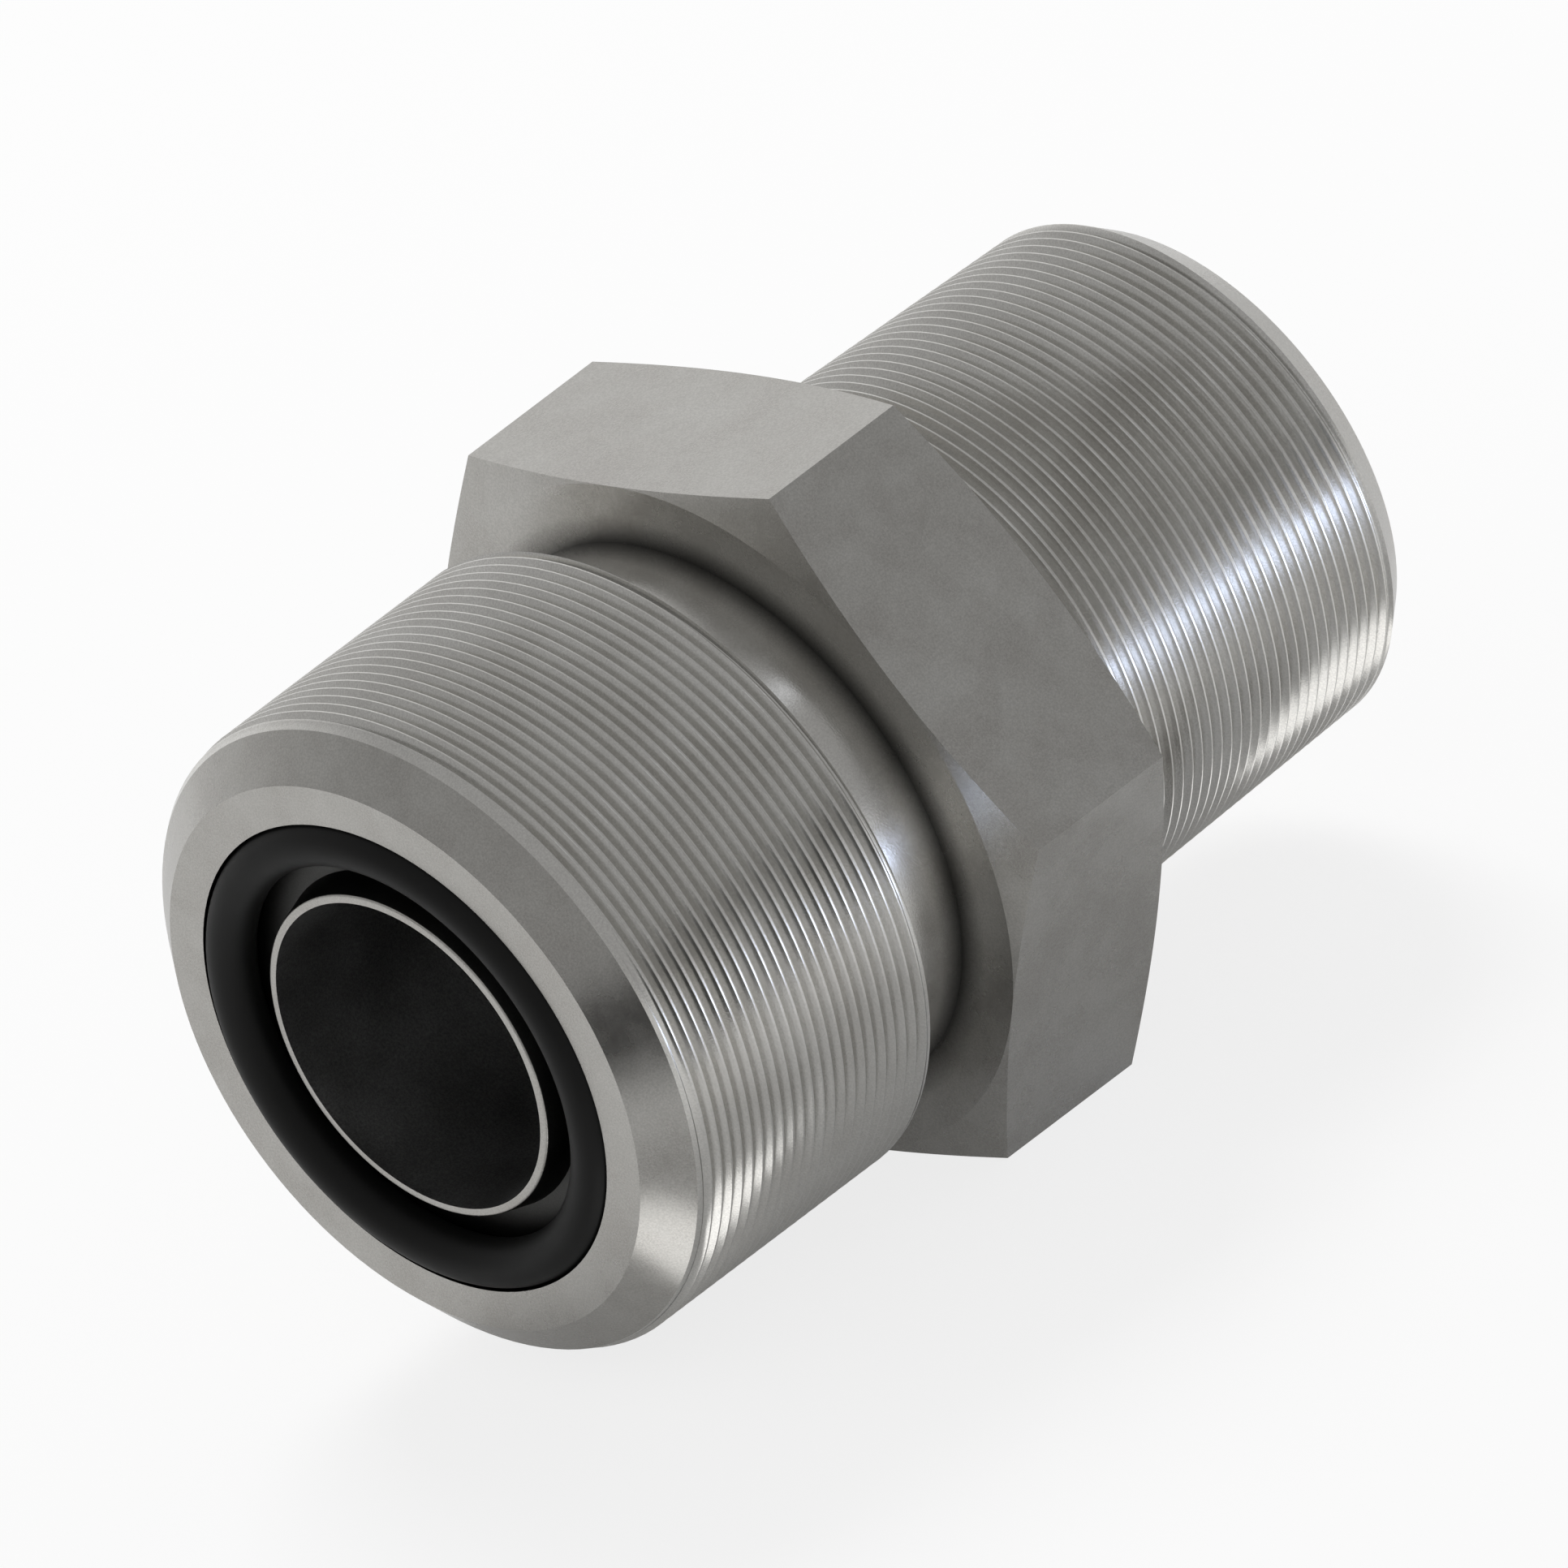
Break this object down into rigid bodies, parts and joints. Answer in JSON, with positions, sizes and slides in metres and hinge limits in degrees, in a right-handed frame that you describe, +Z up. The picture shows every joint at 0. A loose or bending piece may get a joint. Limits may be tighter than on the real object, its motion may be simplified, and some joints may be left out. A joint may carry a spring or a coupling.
{
  "type": "face seal fitting",
  "caption": "Straight male connector with an O-ring face seal thread, a hexagon and a tapered pipe thread, bored right through.",
  "frame": {"origin": "on the surface that the fitting lies on, under the middle of its bounding box", "axes": "+X along the fitting's axis from the sealing face to the pipe end, +Z up; one flat of the hexagon is underneath"},
  "size_m": [0.0418, 0.0308, 0.0266],
  "materials": {
    "steel": "satin, finely blasted",
    "rubber": "smooth, soft sheen"
  },
  "bodies": {
    "root": {"fitting_body": "steel", "o_ring": "rubber"}
  },
  "joints": []
}
